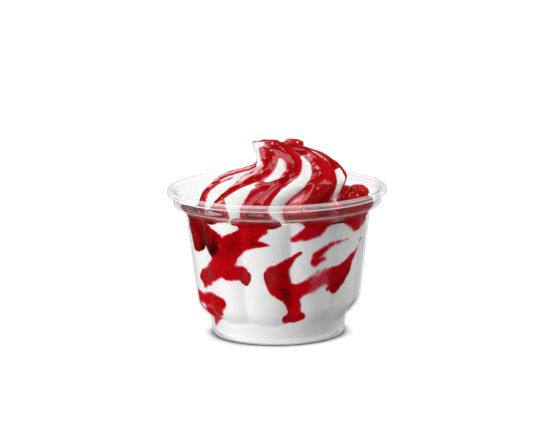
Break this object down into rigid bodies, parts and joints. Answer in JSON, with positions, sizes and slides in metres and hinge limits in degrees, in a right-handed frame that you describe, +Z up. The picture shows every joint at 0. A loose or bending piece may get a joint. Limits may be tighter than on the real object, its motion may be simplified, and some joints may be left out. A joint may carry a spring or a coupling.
{
  "type": "sundae",
  "caption": "Soft-serve swirl with red berry sauce and fruit pieces in a clear lobed dessert cup with a rolled rim.",
  "frame": {"origin": "centre of the cup's base, on the surface the cup stands on", "axes": "+Z up, the pictured front faces -Y, +X to the right of the front"},
  "size_m": [0.096, 0.096, 0.0858],
  "materials": {
    "clear_plastic": "clear glossy thin-walled plastic",
    "ice_cream": "white soft-serve vanilla ice cream, satin and slightly moist",
    "sauce": "wet glossy red berry sauce, pink where it is thin and nearly black-red where it is thick",
    "fruit": "wet dark red fruit flesh with small round drupelets"
  },
  "bodies": {
    "root": {"cup": "clear_plastic", "ice_cream": "ice_cream", "sauce_top": "sauce", "sauce_smear_left": "sauce", "sauce_smear_foot_left": "sauce", "sauce_smear_front": "sauce", "sauce_smear_drop": "sauce", "sauce_smear_right": "sauce", "sauce_smear_small": "sauce", "sauce_smear_back_right": "sauce", "sauce_smear_back": "sauce", "fruit_wall_left": "fruit", "fruit_wall_front_left": "fruit", "fruit_wall_front": "fruit", "fruit_on_tail": "fruit", "fruit_by_wall": "fruit"}
  },
  "joints": []
}
